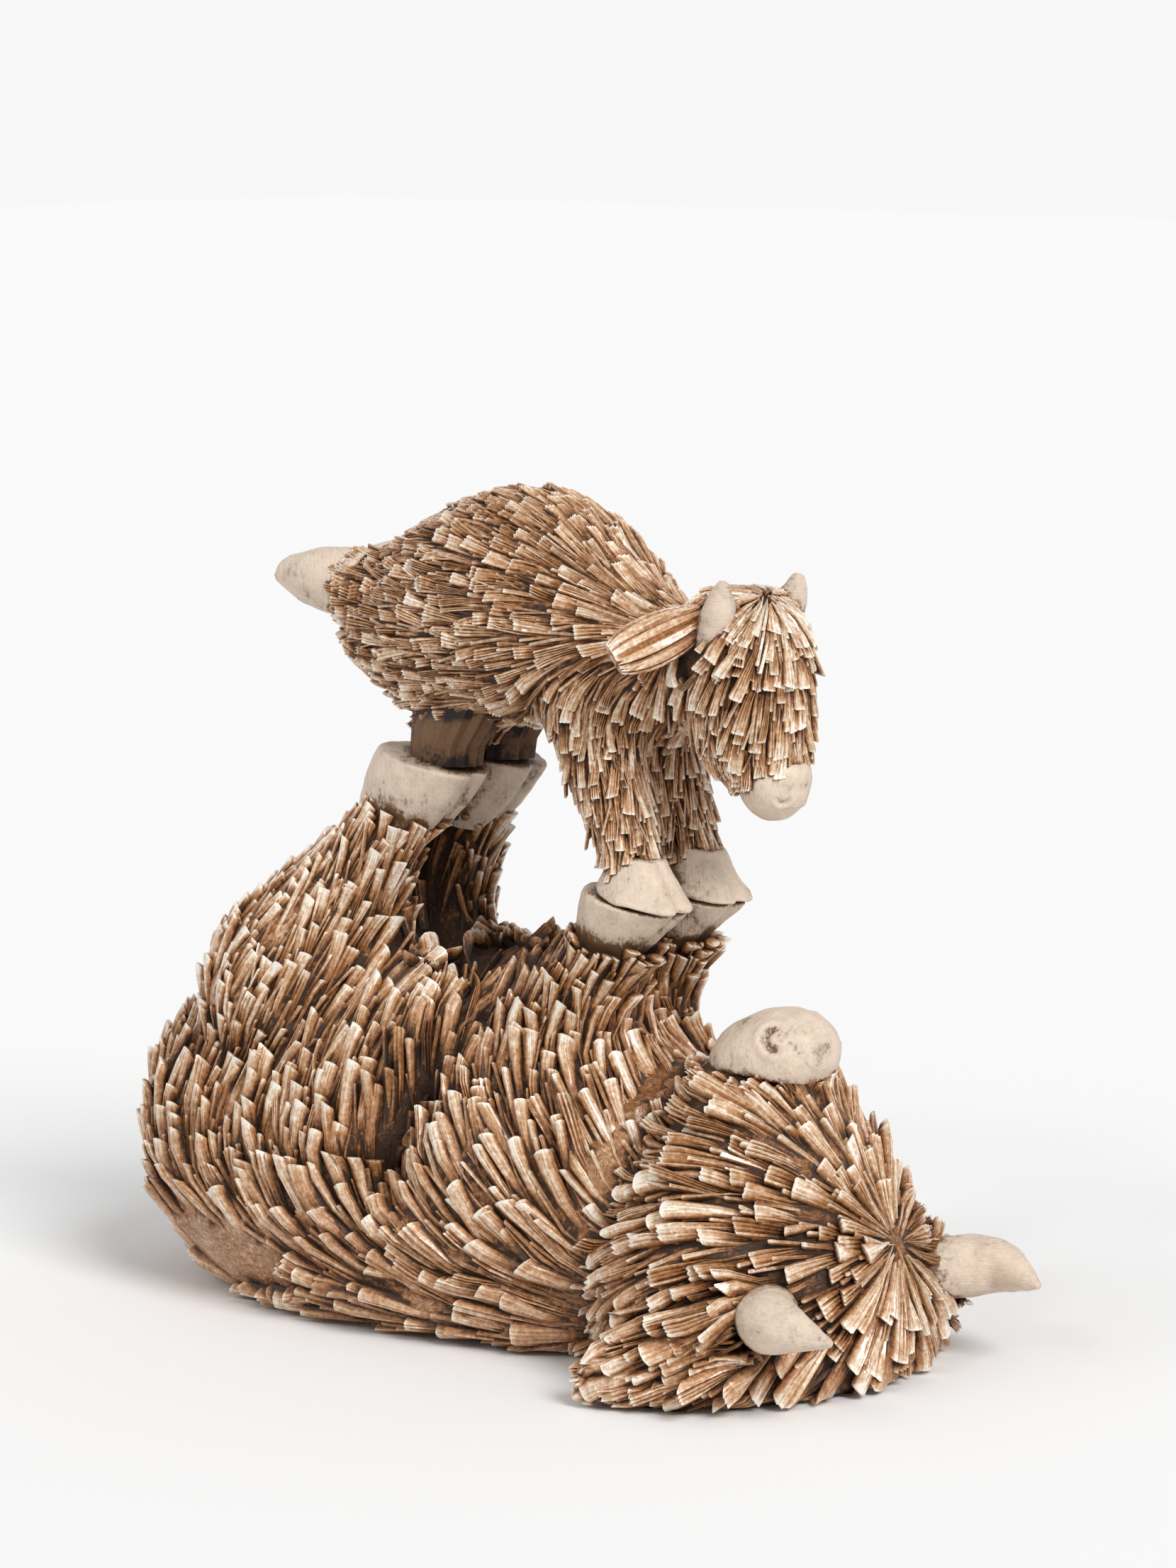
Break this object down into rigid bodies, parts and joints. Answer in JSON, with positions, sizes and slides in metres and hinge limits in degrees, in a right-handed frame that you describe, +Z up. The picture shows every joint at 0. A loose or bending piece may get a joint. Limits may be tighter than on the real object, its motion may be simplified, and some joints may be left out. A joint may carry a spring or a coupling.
{
  "type": "animal figurine",
  "caption": "Shelf ornament of a highland cow on her back holding her calf in the air on her hooves, cast in painted resin with a tufted coat.",
  "frame": {"origin": "middle of the ornament's box, on the surface that the felt pads stand on", "axes": "+X from the cow's rump to her head, +Y to the side away from the camera of the picture, +Z up"},
  "size_m": [0.2362, 0.1142, 0.1988],
  "materials": {
    "coat": "cast resin, brown wash with cream dry-brushed tips",
    "horn": "cast resin, satin stone grey with fine scratches",
    "felt": "felt",
    "pin": "plain"
  },
  "bodies": {
    "root": {"cow_trunk": "coat", "cow_head": "coat", "cow_muzzle": "horn", "cow_tail": "coat", "cow_hind_leg_left": "coat", "cow_hind_leg_right": "coat", "cow_hind_hoof_left": "horn", "cow_hind_hoof_right": "horn", "cow_foreleg_left": "coat", "cow_foreleg_right": "coat", "cow_fore_hoof_left": "horn", "cow_fore_hoof_right": "horn", "cow_horn_left": "horn", "cow_horn_right": "horn", "cow_ear_left": "coat", "cow_ear_right": "coat", "calf_trunk": "coat", "calf_head": "coat", "calf_muzzle": "horn", "calf_tail": "coat", "calf_foreleg_left": "coat", "calf_foreleg_right": "coat", "calf_fore_hoof_left": "horn", "calf_fore_hoof_right": "horn", "calf_hind_leg_left": "coat", "calf_hind_leg_right": "coat", "calf_hind_hoof_left": "horn", "calf_hind_hoof_right": "horn", "calf_horn_left": "horn", "calf_horn_right": "horn", "calf_ear_left": "coat", "calf_ear_right": "coat", "hind_pin_left": "pin", "hind_pin_right": "pin", "fore_pin_left": "pin", "fore_pin_right": "pin", "trunk_pad_left": "felt", "trunk_pad_right": "felt", "head_pad_left": "felt", "head_pad_right": "felt"}
  },
  "joints": []
}
